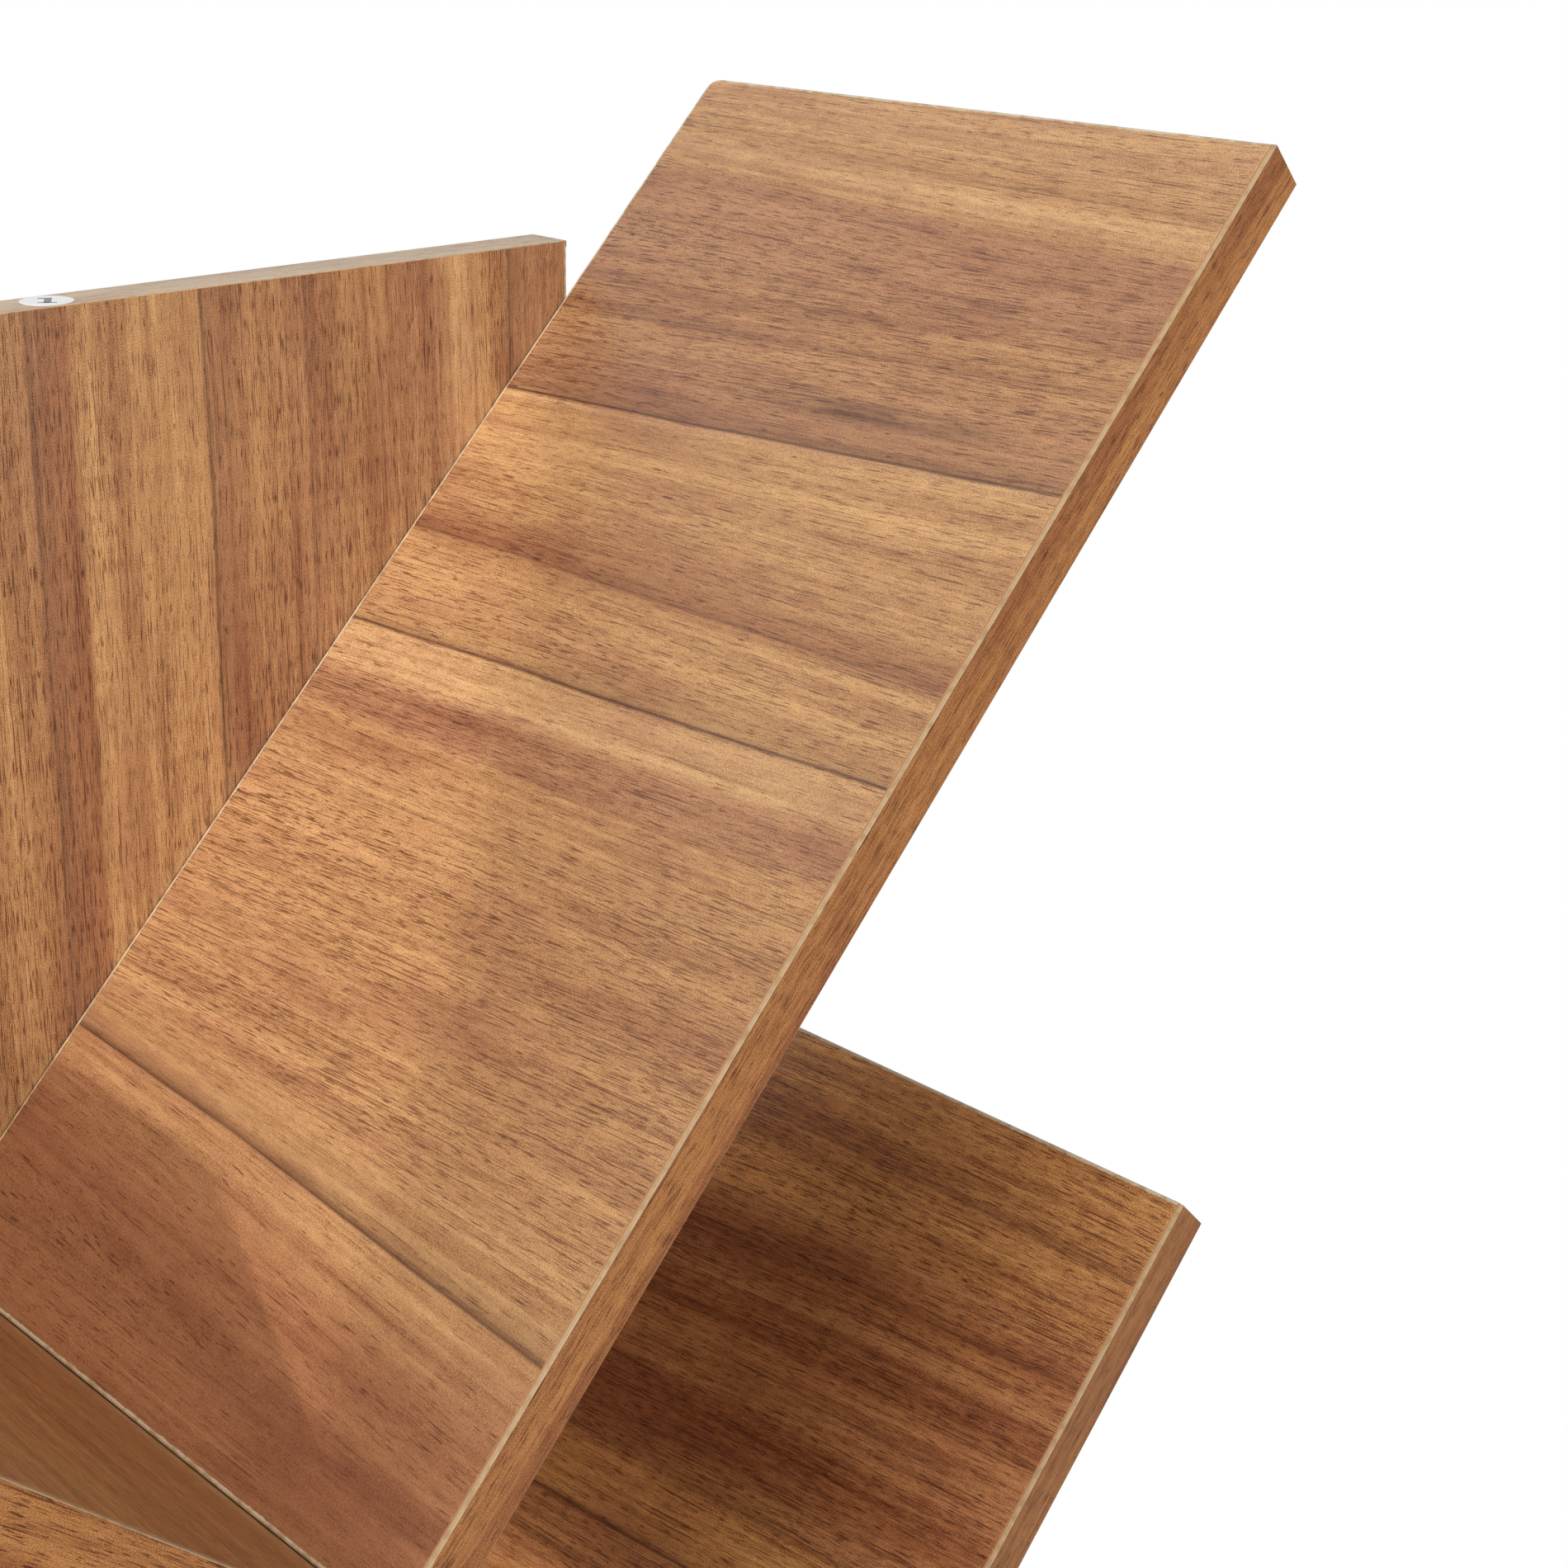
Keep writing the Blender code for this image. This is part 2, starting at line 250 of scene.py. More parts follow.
line, taken, given = new_group(
    "growth_line",
    (("Across", "Float"), ("Place", "Float"), ("Fade", "Float"), ("Strength", "Float")),
    (("Dark", "Float"),),
)
away = maths(line, "SUBTRACT", taken["Across"], taken["Place"])
narrow = maths(line, "DIVIDE", away, LINE_WIDTH)
core = maths(line, "EXPONENT", maths(line, "MULTIPLY", maths(line, "MULTIPLY", narrow, narrow), -1.0))
tail = maths(line, "EXPONENT", maths(line, "DIVIDE", away, taken["Fade"]))
before = maths(line, "LESS_THAN", away, 0.0)
faded = maths(line, "MULTIPLY", maths(line, "MULTIPLY", tail, before), FADE_SHARE)
darkest = maths(line, "MAXIMUM", core, faded)
plug(line, given["Dark"], maths(line, "MULTIPLY", darkest, taken["Strength"]))
print("group", line.name, "nodes", len(line.nodes))

# %% [markdown]
# ## The fibre of the walnut print
# Over the broad tones lie finer things: long streaks, thin golden ones, a blotchy figure and soft, dull
# clouds. All of them are noise that is stretched along the grain. A very fine speckle is the pearl texture
# of the melamine itself. Streaks are printed warm, so each changes red, green and blue by another amount.

# %% Fibre and clouds
STREAKS = (130.0, 2.4, 1.0)
GOLD_STREAKS = (560.0, 11.0, 1.0)
FIGURE = (330.0, 130.0, 1.0)
PEARL = (3400.0, 2700.0, 1.0)
STREAK_SHADE = 0.90
GOLD_SHADE = 0.85
FIGURE_SHADE = 0.40
PEARL_SHADE = 1.50
GOLDEN = (0.85, 1.15, 1.25)
CLOUDS = (62.0, 11.0, 1.0)
CLOUD_SPAN = (-0.04, 0.16)
CLOUD_TINT = (0.83, 0.75, 0.78, 1.0)


def centred(tree, grain, cells, detail, roughness=0.5):
    """A stretched noise around zero."""
    return maths(tree, "SUBTRACT", noise(tree, stretched(tree, grain, cells), detail, roughness), 0.5)


walnut, taken, given = new_group(
    "walnut_print",
    (("Tone", "Color"), ("Grain", "Vector"), ("Pores", "Float"), ("Contrast", "Float")),
    (("Color", "Color"), ("Fibre", "Float"), ("Height", "Float")),
)
grain = taken["Grain"]
streak = centred(walnut, grain, STREAKS, 4.0, 0.6)
gold = centred(walnut, grain, GOLD_STREAKS, 3.0, 0.6)
figure = centred(walnut, grain, FIGURE, 2.0)
pearl = centred(walnut, grain, PEARL, 1.0)
cloud = centred(walnut, grain, CLOUDS, 4.0, 0.6)
shade = maths(walnut, "MULTIPLY", streak, STREAK_SHADE)
for part, amount in ((gold, GOLD_SHADE), (figure, FIGURE_SHADE), (pearl, PEARL_SHADE)):
    shade = maths(walnut, "MULTIPLY_ADD", part, amount, shade)
shade = maths(walnut, "MULTIPLY", shade, taken["Contrast"])
tint = [maths(walnut, "MULTIPLY_ADD", shade, depth, 1.0) for depth in GOLDEN]
clouded = remap(walnut, cloud, CLOUD_SPAN, (0.0, 1.0), smooth=True)
dull = mixed(walnut, 1.0, taken["Tone"], CLOUD_TINT, "MULTIPLY")
washed = mixed(walnut, clouded, taken["Tone"], dull)
light = mixed(walnut, 1.0, washed, joined(walnut, *tint), "MULTIPLY")
print("fibre nodes", len(walnut.nodes))

# %% [markdown]
# ## The pores of the walnut print
# The pores are short dark dashes and longer threads along the grain. Cutting a stretched noise off below a
# threshold leaves dashes of uneven length, which look more like wood than a regular pattern of cells would.
# The threshold rises where the tone has many pores, and in patches of its own.

# %% Pores
PATCHES = (45.0, 6.0, 1.0)
PATCH_SHARE = 1.2
LONG_PORES = (3200.0, 100.0, 1.0)
SHORT_PORES = (4000.0, 210.0, 1.0)
THREADS = (2700.0, 25.0, 1.0)
PORE_LEVEL = 0.322
PORE_GAIN = 0.11
PORE_EDGE = (0.0, 0.050)
THREAD_DROP = 0.02
SHORT_SHARE = 0.95
THREAD_SHARE = 0.80
PORE_TINT = (0.30, 0.19, 0.15, 1.0)
PORE_INK = 0.85
PORE_HEIGHT = -0.5


def pore_dashes(tree, grain, cells, threshold):
    """Dashes along the grain, where a stretched noise dips below the threshold."""
    dip = noise(tree, stretched(tree, grain, cells), 1.0, 0.5)
    below = maths(tree, "SUBTRACT", threshold, dip)
    return remap(tree, below, PORE_EDGE, (0.0, 1.0))


patch = centred(walnut, grain, PATCHES, 2.0)
density = maths(walnut, "MULTIPLY_ADD", patch, PATCH_SHARE, taken["Pores"])
threshold = maths(walnut, "MULTIPLY_ADD", density, PORE_GAIN, PORE_LEVEL)
long_pores = pore_dashes(walnut, grain, LONG_PORES, threshold)
short_pores = pore_dashes(walnut, grain, SHORT_PORES, threshold)
threads = pore_dashes(walnut, grain, THREADS, maths(walnut, "SUBTRACT", threshold, THREAD_DROP))
pores = maths(walnut, "MAXIMUM", long_pores, maths(walnut, "MULTIPLY", short_pores, SHORT_SHARE))
pores = maths(walnut, "MAXIMUM", pores, maths(walnut, "MULTIPLY", threads, THREAD_SHARE))
deep = mixed(walnut, 1.0, light, PORE_TINT, "MULTIPLY")
ink = maths(walnut, "MULTIPLY", taken["Contrast"], PORE_INK)
inked = maths(walnut, "MINIMUM", maths(walnut, "MULTIPLY", pores, ink), 1.0)
plug(walnut, given["Color"], mixed(walnut, inked, light, deep))
plug(walnut, given["Fibre"], maths(walnut, "ADD", gold, 0.5))
plug(walnut, given["Height"], maths(walnut, "MULTIPLY_ADD", pores, PORE_HEIGHT, pearl))
print("group", walnut.name, "nodes", len(walnut.nodes))

# %% [markdown]
# ## Faces, edges and rims of a board
# A board wears its print on the two broad faces and a strip of edge band round the sides. Where the two
# meet, the saw and the trimming cutter leave a pale, slightly chipped rim. Those could be separate pieces,
# but a shader can tell them apart: the way a face points gives the edges, and the distance to the board's
# outline gives the rim.

# %% Board masks
RIM = 0.0011
CHIPPING = (420.0, 420.0, 420.0)
CHIP_DEPTH = 0.0008
EDGE_FACING = 0.85
EDGE_SEED = 3.0

board_masks, taken, given = new_group(
    "board_masks",
    (("Board", "Vector"), ("Facing", "Vector"), ("Low", "Vector"), ("High", "Vector")),
    (("Edge", "Float"), ("Rim", "Float"), ("Edge Grain", "Vector")),
)
facing = [maths(board_masks, "ABSOLUTE", part) for part in parts(board_masks, taken["Facing"])]
x_facing, y_facing, _ = facing
edge_on = maths(board_masks, "MAXIMUM", x_facing, y_facing)
place_x, place_y, place_z = parts(board_masks, taken["Board"])
low_x, low_y, _ = parts(board_masks, taken["Low"])
high_x, high_y, _ = parts(board_masks, taken["High"])
margin = maths(board_masks, "SUBTRACT", place_x, low_x)
for first, second in ((high_x, place_x), (place_y, low_y), (high_y, place_y)):
    margin = maths(board_masks, "MINIMUM", margin, maths(board_masks, "SUBTRACT", first, second))
chip = noise(board_masks, stretched(board_masks, taken["Board"], CHIPPING), 3.0, 0.6)
reach = maths(board_masks, "MULTIPLY_ADD", chip, CHIP_DEPTH, RIM - CHIP_DEPTH / 2)
on_long_side = maths(board_masks, "GREATER_THAN", y_facing, x_facing)
change = maths(board_masks, "SUBTRACT", place_x, place_y)
run = maths(board_masks, "MULTIPLY_ADD", change, on_long_side, place_y)
plug(board_masks, given["Edge"], maths(board_masks, "GREATER_THAN", edge_on, EDGE_FACING))
plug(board_masks, given["Rim"], maths(board_masks, "LESS_THAN", margin, reach))
plug(board_masks, given["Edge Grain"], joined(board_masks, place_z, run, EDGE_SEED))
print("group", board_masks.name, "nodes", len(board_masks.nodes))

# %% [markdown]
# ## A mineral streak
# Walnut sometimes has a short grey-brown smear along the grain, where minerals stained the wood. One group
# draws it as a lens that fades out towards its ends.

# %% Mineral streak
SMEAR_GAPS = (420.0, 30.0, 1.0)
SMEAR_SPAN = (0.3, 0.6)
SMEAR_LEVELS = (0.2, 1.0)

mineral, taken, given = new_group(
    "mineral_streak",
    (("Grain", "Vector"), ("Middle", "Vector"), ("Half Width", "Float"), ("Half Length", "Float")),
    (("Dark", "Float"),),
)
apart = mineral.nodes.new("ShaderNodeVectorMath")
apart.operation = "SUBTRACT"
plug(mineral, apart.inputs[0], taken["Grain"])
plug(mineral, apart.inputs[1], taken["Middle"])
across, along, _ = parts(mineral, apart.outputs["Vector"])
across = maths(mineral, "DIVIDE", across, taken["Half Width"])
along = maths(mineral, "DIVIDE", along, taken["Half Length"])
spread = maths(mineral, "ADD", maths(mineral, "POWER", across, 2.0), maths(mineral, "POWER", along, 4.0))
lens = maths(mineral, "EXPONENT", maths(mineral, "MULTIPLY", spread, -1.0))
torn = noise(mineral, stretched(mineral, taken["Grain"], SMEAR_GAPS), 2.0)
ragged = remap(mineral, torn, SMEAR_SPAN, SMEAR_LEVELS)
plug(mineral, given["Dark"], maths(mineral, "MULTIPLY", lens, ragged))
print("group", mineral.name, "nodes", len(mineral.nodes))

# %% [markdown]
# ## The colours of the print
# The print has five tones of walnut, from pale sapwood to umber. Each tone is a colour and how thickly the
# pores stand in it, and a calm tone has hardly any. Broad bands of these tones lie side by side across the
# grain. Each list below gives the bands of one print in millimetres across it, then its growth lines as
# place, fade and strength, then how far the grain leans at each place.

# %% Tones and bands
PALE = (0.590, 0.335, 0.150, 0.25)
HONEY = (0.545, 0.292, 0.120, 0.50)
TAN = (0.490, 0.250, 0.102, 0.65)
ROSE = (0.440, 0.214, 0.098, 0.55)
UMBER = (0.350, 0.142, 0.058, 0.70)
CALM_PORES = 0.05


def calm(tone):
    """The same tone with hardly any pores."""
    return (*tone[:3], CALM_PORES)


# On the top right shelf the pale band at its top end, 0 to 12 mm, is partly painted sheen, and the umber
# bands from 360 mm to the V's inside corner are partly painted shade.
TOP_BANDS = (
    (0, PALE), (12, PALE), (24, TAN), (34, PALE), (38, HONEY), (41, ROSE), (58, ROSE), (74, TAN),
    (97, ROSE), (108, ROSE), (111, PALE), (114, HONEY), (156, HONEY), (164, UMBER), (169, HONEY),
    (189, HONEY), (194, PALE), (203, PALE), (207, ROSE), (217, ROSE), (221, HONEY), (236, TAN),
    (312, TAN), (322, HONEY), (330, calm(HONEY)), (346, calm(TAN)), (360, calm(UMBER)),
    (396, calm(UMBER)), (400, calm(ROSE)),
)
TOP_LINES = (
    (25, 5, 0.30), (63, 2, 0.30), (80, 3, 0.30), (109.5, 6, 1.00), (165, 4, 0.65), (191.8, 5, 1.00),
    (239, 3, 0.30), (337.2, 8, 0.60), (338, 5, 1.00), (380, 6, 0.30),
)
TOP_LEANS = (
    (0, 0.00), (16, -0.025), (34, -0.030), (72, 0.030), (110, 0.040), (160, 0.00), (212, 0.03),
    (237, 0.01), (265, 0.042), (310, 0.03), (338, -0.06), (362, -0.055), (388, 0.00), (400, 0.00),
)
# On the back panel the pale band from 37 to 46 mm is a painted highlight: it stands for a glossy reflection
# that runs down the panel near its right edge.
PANEL_BANDS = (
    (0, ROSE), (22, ROSE), (25, TAN), (31, HONEY), (37, PALE), (46, PALE), (48, ROSE), (76, TAN),
    (92, ROSE), (108, TAN), (122, ROSE), (126, HONEY), (161, HONEY), (163, UMBER), (174, ROSE),
    (178, TAN), (190, HONEY), (230, HONEY), (236, TAN), (290, ROSE), (300, HONEY), (330, PALE),
    (340, ROSE), (400, TAN),
)
PANEL_LINES = (
    (22, 4, 0.80), (83, 3, 0.30), (93, 2, 0.40), (124, 3, 0.75), (174, 5, 0.60), (236, 5, 0.70),
    (338, 4, 0.70),
)
PANEL_LEANS = ((0, 0.00), (400, 0.00))
SECOND_BANDS = (
    (0, HONEY), (22, TAN), (46, TAN), (48, ROSE), (60, UMBER), (72, ROSE), (80, UMBER), (97, ROSE),
    (112, UMBER), (132, ROSE), (136, HONEY), (154, HONEY), (158, ROSE), (170, TAN), (198, HONEY),
    (230, TAN), (262, ROSE), (268, PALE), (286, HONEY), (330, TAN), (352, ROSE), (400, HONEY),
)
SECOND_LINES = (
    (27, 4, 0.60), (60, 3, 0.60), (84, 2, 0.25), (133, 4, 0.60), (156, 3, 0.95), (264, 5, 0.70),
    (350, 4, 0.50),
)
SECOND_LEANS = (
    (0, 0.01), (37, 0.03), (62, 0.07), (112, 0.08), (160, 0.06), (250, 0.02), (400, 0.01),
)
PRINTS = {
    "top": (TOP_BANDS, TOP_LINES, TOP_LEANS),
    "panel": (PANEL_BANDS, PANEL_LINES, PANEL_LEANS),
    "second": (SECOND_BANDS, SECOND_LINES, SECOND_LEANS),
}
print("bands", {name: len(bands) for name, (bands, _, _) in PRINTS.items()})

# %% [markdown]
# ## Laying the print on a board
# A board's own axes run across the grain, along it and out of its face. A Mapping node turns the frame's
# metres into them. The bands are a colour ramp over the place across the grain, whose alpha carries the
# pores, and the lean is a curve over the same place. Both repeat with the width of the printed paper.

# %% Board axes, ramp and lean
DECOR_WIDTH = 0.400
LEAN_SCALE = 4.0


def lay_on(tree, socket, axes, start, kind):
    """A place or a direction of the frame, in a board's own axes."""
    node = tree.nodes.new("ShaderNodeMapping")
    node.vector_type = kind
    turn = Matrix(axes)
    if turn.determinant() < 0:
        turn = turn @ Matrix.Diagonal((1.0, -1.0, 1.0))
        node.inputs["Scale"].default_value = (1.0, -1.0, 1.0)
    node.inputs["Rotation"].default_value = turn.to_euler("XYZ")
    if kind == "POINT":
        node.inputs["Location"].default_value = start
    plug(tree, node.inputs["Vector"], socket)
    return node.outputs["Vector"]


def band_ramp(tree, across, bands):
    """The broad tones across the grain, repeated from board to board as a printed paper is."""
    turn = maths(tree, "FRACT", maths(tree, "DIVIDE", across, DECOR_WIDTH))
    node = tree.nodes.new("ShaderNodeValToRGB")
    stops = node.color_ramp.elements
    stops.remove(stops[1])
    stops[0].position = 0.0
    for millimetres, tone in bands:
        place = millimetres / 1000 / DECOR_WIDTH
        stop = stops[0] if place == 0.0 else stops.new(place)
        stop.color = tone
    plug(tree, node.inputs["Fac"], turn)
    return node.outputs["Color"], node.outputs["Alpha"], maths(tree, "MULTIPLY", turn, DECOR_WIDTH)


def lean_curve(tree, across, leans):
    """How far the grain drifts across the board for each metre along it."""
    node = tree.nodes.new("ShaderNodeFloatCurve")
    points = node.mapping.curves[0].points
    for number, (millimetres, drift) in enumerate(leans):
        place = millimetres / 1000 / DECOR_WIDTH
        height = 0.5 + LEAN_SCALE * drift
        if number in (0, len(leans) - 1):
            points[0 if number == 0 else -1].location = (place, height)
        else:
            points.new(place, height)
    node.mapping.update()
    turn = maths(tree, "FRACT", maths(tree, "DIVIDE", across, DECOR_WIDTH))
    plug(tree, node.inputs["Value"], turn)
    return maths(tree, "DIVIDE", maths(tree, "SUBTRACT", node.outputs["Value"], 0.5), LEAN_SCALE)


def board_reach(node_name, axes):
    """The lowest and highest corner of a frame node in a board's own axes."""
    turned = [Matrix(axes) @ vertex.co for vertex in nodes[node_name].data.vertices]
    low = Vector([min(point[k] for point in turned) for k in range(3)])
    high = Vector([max(point[k] for point in turned) for k in range(3)])
    return low, high


print("paper width", DECOR_WIDTH)

# %% [markdown]
# ## The tone of a board
# The growth lines are mixed over the bands, and a slow noise thins each of them here and there. Two boards
# get a darker, warmer tint that is painted shade: the lower right shelf lies in the shade of the one above,
# and the top left shelf's face lies in shade. Two boards carry a mineral streak.

# %% Printed tone
LINE_DARK = (0.120, 0.045, 0.017, 1.0)
BOARD_WAVE = 0.010
FADING = (30.0, 22.0, 1.0)
FADING_SPAN = (0.35, 0.65)
FADING_LEVELS = (0.85, 1.0)
# Painted shade: a darker, warmer tint for the lower right shelf, under the shelf above, and for the top
# left shelf, whose face lies in shade.
PAINTED_SHADE_TINT = {
    "right_shelf_3": (1.00, 0.87, 0.68, 1.0),
    "left_shelf_4": (0.94, 0.86, 0.70, 1.0),
}
MINERAL_STREAKS = {
    "right_shelf_4": (0.0970, 0.064, 0.0028, 0.034),
    "left_shelf_2": (0.250, 0.120, 0.0030, 0.040),
}
STAIN = 0.95


def printed_tone(tree, node_name, place, print_name, seed):
    """The bands of a board with their lines and streaks, how thick its pores stand, and its grain."""
    bands, lines, leans = PRINTS[print_name]
    lean = lean_curve(tree, parts(tree, place)[0], leans)
    bent = use_group(tree, field, Board=place, Lean=lean, Wave=BOARD_WAVE, Seed=seed)
    tone, pores, decor = band_ramp(tree, bent["Across"], bands)
    fading = remap(tree, noise(tree, stretched(tree, place, FADING), 2.0), FADING_SPAN, FADING_LEVELS)
    for millimetres, fade, strength in lines:
        dark = use_group(
            tree, line, Across=decor, Place=millimetres / 1000, Fade=fade / 1000,
            Strength=maths(tree, "MULTIPLY", fading, strength))["Dark"]
        tone = mixed(tree, dark, tone, LINE_DARK)
    # Painted shade on the boards that lie in shade.
    if node_name in PAINTED_SHADE_TINT:
        tone = mixed(tree, 1.0, tone, PAINTED_SHADE_TINT[node_name], "MULTIPLY")
    if node_name in MINERAL_STREAKS:
        middle_across, middle_along, half_width, half_length = MINERAL_STREAKS[node_name]
        stain = use_group(
            tree, mineral, **{"Grain": bent["Grain"], "Middle": (middle_across, middle_along, seed),
                              "Half Width": half_width, "Half Length": half_length})["Dark"]
        tone = mixed(tree, maths(tree, "MULTIPLY", stain, STAIN), tone, LINE_DARK)
    return tone, pores, bent["Grain"]


print("deeper boards", sorted(PAINTED_SHADE_TINT))

# %% [markdown]
# ## A board's material
# The walnut print adds the fine detail to the tone. The edges get the same print, running along the edge,
# and the rims the bare core of the paper. A melamine face is smooth and half glossy, with a faint texture
# that breaks up what it reflects.

# %% Walnut board material
PRINT_CONTRAST = {"right_shelf_3": 1.60, "back_panel": 1.30}
USUAL_CONTRAST = 1.05
EDGE_TONE = (*TAN[:3], 1.0)
EDGE_PORES = 0.8
EDGE_CONTRAST = 1.3
BARE_RIM = (0.640, 0.520, 0.350, 1.0)
DUSTY_RIM = (0.460, 0.330, 0.190, 1.0)
RIM_SCUFFS = (260.0, 260.0, 260.0)
RIM_SCUFF_SPAN = (0.45, 0.62)
FIBRE_SPAN = (0.2, 0.8)
FACE_ROUGHNESS = (0.36, 0.46)
FACE_BUMP = 0.10
MELAMINE_IOR = 1.58


def walnut_board(node_name, axes, banded, print_name, seed, shift):
    """Walnut-look melamine on a board with the given axes; banded marks the side without a rim."""
    material, tree, surface = new_material(f"walnut_{node_name}")
    low, high = board_reach(node_name, axes)
    place = object_place(tree)
    normal = tree.nodes.new("ShaderNodeNewGeometry").outputs["True Normal"]
    masks = use_group(
        tree, board_masks, Board=lay_on(tree, place, axes, -low, "POINT"),
        Facing=lay_on(tree, normal, axes, -low, "VECTOR"),
        Low=tuple(-1.0 if side < 0 else 0.0 for side in banded),
        High=tuple(length + (1.0 if side > 0 else 0.0) for length, side in zip(high - low, banded)))
    shifted = lay_on(tree, place, axes, -low + Vector((shift, 0.0, 0.0)), "POINT")
    tone, pores, grain = printed_tone(tree, node_name, shifted, print_name, seed)
    contrast = PRINT_CONTRAST.get(node_name, USUAL_CONTRAST)
    face = use_group(tree, walnut, Tone=tone, Grain=grain, Pores=pores, Contrast=contrast)
    edge = use_group(
        tree, walnut, Tone=EDGE_TONE, Grain=masks["Edge Grain"], Pores=EDGE_PORES, Contrast=EDGE_CONTRAST)
    scuff = remap(tree, noise(tree, stretched(tree, place, RIM_SCUFFS), 2.0), RIM_SCUFF_SPAN, (0.0, 1.0))
    faced = mixed(tree, masks["Rim"], face["Color"], mixed(tree, scuff, BARE_RIM, DUSTY_RIM))
    plug(tree, surface["Base Color"], mixed(tree, masks["Edge"], faced, edge["Color"]))
    plug(tree, surface["Roughness"], remap(tree, face["Fibre"], FIBRE_SPAN, FACE_ROUGHNESS))
    surface["IOR"].default_value = MELAMINE_IOR
    add_bump(tree, surface, face["Height"], FACE_BUMP)
    return material


print("face roughness", FACE_ROUGHNESS)

# %% [markdown]
# ## Dressing the boards
# On a sloping shelf the grain runs from front to back, so "across" is measured down the slope from its top
# end. On the back panel the grain stands upright, and on the plinth it follows each board's length. Every
# board takes its own stretch of the same printed paper, with another seed for its wave. The side of a board
# that carries a band has no rim of its own.

# %% Assign the walnut
HALF = math.sqrt(0.5)
DOWN_SLOPE = {"right": (-HALF, 0.0, -HALF), "left": (HALF, 0.0, -HALF)}
OUT_OF_FACE = {"right": (-HALF, 0.0, HALF), "left": (HALF, 0.0, HALF)}
TO_BACK = (0.0, 1.0, 0.0)
UPRIGHT = (0.0, 0.0, 1.0)
TO_RIGHT = (1.0, 0.0, 0.0)
TO_LEFT = (-1.0, 0.0, 0.0)
NO_BAND = (0, 0, 0)
FRONT_BAND = (0, -1, 0)
SHELF_PRINTS = {("right", 4): ("top", 0.0), ("right", 3): ("second", 0.0), ("left", 4): ("top", 0.325)}
PAPER_STEP = 0.117
LEFT_PAPER = 0.06
SEED_STEP = 2.3
LEFT_SEED = 11.0
OTHER_BOARDS = {
    "back_panel": ((TO_LEFT, UPRIGHT, TO_BACK), (0, 1, 0), 5.0, 0.0),
    "base_board": ((TO_BACK, TO_RIGHT, UPRIGHT), (-1, 0, 0), 21.0, 0.1),
    "kick_board": ((UPRIGHT, TO_RIGHT, TO_BACK), NO_BAND, 23.0, 0.1),
    "plinth_side_left": ((UPRIGHT, TO_BACK, TO_RIGHT), NO_BAND, 25.0, 0.22),
    "plinth_side_right": ((UPRIGHT, TO_BACK, TO_RIGHT), NO_BAND, 25.0, 0.22),
}


def dress(node_name, material):
    """Put a material on a frame node, in all of its slots."""
    for slot in nodes[node_name].material_slots:
        slot.material = material


for side in SIDES:
    for tier in TIERS:
        name = f"{side}_shelf_{tier}"
        shift = PAPER_STEP * tier + (LEFT_PAPER if side == "left" else 0.0)
        print_name, shift = SHELF_PRINTS.get((side, tier), ("second" if tier % 2 else "top", shift))
        axes = (DOWN_SLOPE[side], TO_BACK, OUT_OF_FACE[side])
        seed = SEED_STEP * tier + (LEFT_SEED if side == "left" else 0.0)
        dress(name, walnut_board(name, axes, FRONT_BAND, print_name, seed, shift))
for name, (axes, banded, seed, shift) in OTHER_BOARDS.items():
    dress(name, walnut_board(name, axes, banded, "panel", seed, shift))
panel_walnut = bpy.data.materials["walnut_back_panel"]
print("walnut materials", len([m for m in bpy.data.materials if m.name.startswith("walnut_")]))

# %% [markdown]
# ## Finishes of the edge bands
# Each front edge carries a strip of plastic, printed on its outside and trimmed flush with a cutter, which
# leaves its pale core showing as a line along the board. So a strip needs two finishes: a print whose grain
# runs along it, and the trimmed core. A little way behind the front the core gives way to the board's tone.

# %% Band materials
FRONTWARD = (0.0, -1.0, 0.0)
BAND_RUN = {
    "right": (OUT_OF_FACE["right"], OUT_OF_FACE["left"], FRONTWARD),
    "left": (OUT_OF_FACE["left"], OUT_OF_FACE["right"], FRONTWARD),
    "level": (UPRIGHT, TO_RIGHT, FRONTWARD),
}
BAND_WAVE = 0.004
BAND_SEED = 31.0
BAND_SPECULAR = 0.15
BAND_BUMP = 0.12
TRIMMED_CORE = (0.560, 0.390, 0.225, 1.0)
SCUFFED_CORE = (0.450, 0.290, 0.150, 1.0)
CORE_SCUFFS = (300.0, 300.0, 300.0)
CORE_SCUFF_SPAN = (0.46, 0.64)
CORE_RAGGED = 0.0005
CORE_ROUGHNESS = (0.40, 0.60)
CORE_SPECULAR = 0.25


def band_print(name, axes, tone, contrast, pores, roughness):
    """Wood-look plastic whose grain runs along the strip."""
    material, tree, surface = new_material(name)
    strip = lay_on(tree, object_place(tree), axes, (0.0, 0.0, 0.0), "POINT")
    bent = use_group(tree, field, Board=strip, Lean=0.0, Wave=BAND_WAVE, Seed=BAND_SEED)
    face = use_group(tree, walnut, Tone=(*tone, 1.0), Grain=bent["Grain"], Pores=pores, Contrast=contrast)
    plug(tree, surface["Base Color"], face["Color"])
    plug(tree, surface["Roughness"], remap(tree, face["Fibre"], FIBRE_SPAN, roughness))
    surface["Specular IOR Level"].default_value = BAND_SPECULAR
    add_bump(tree, surface, face["Height"], BAND_BUMP)
    return material


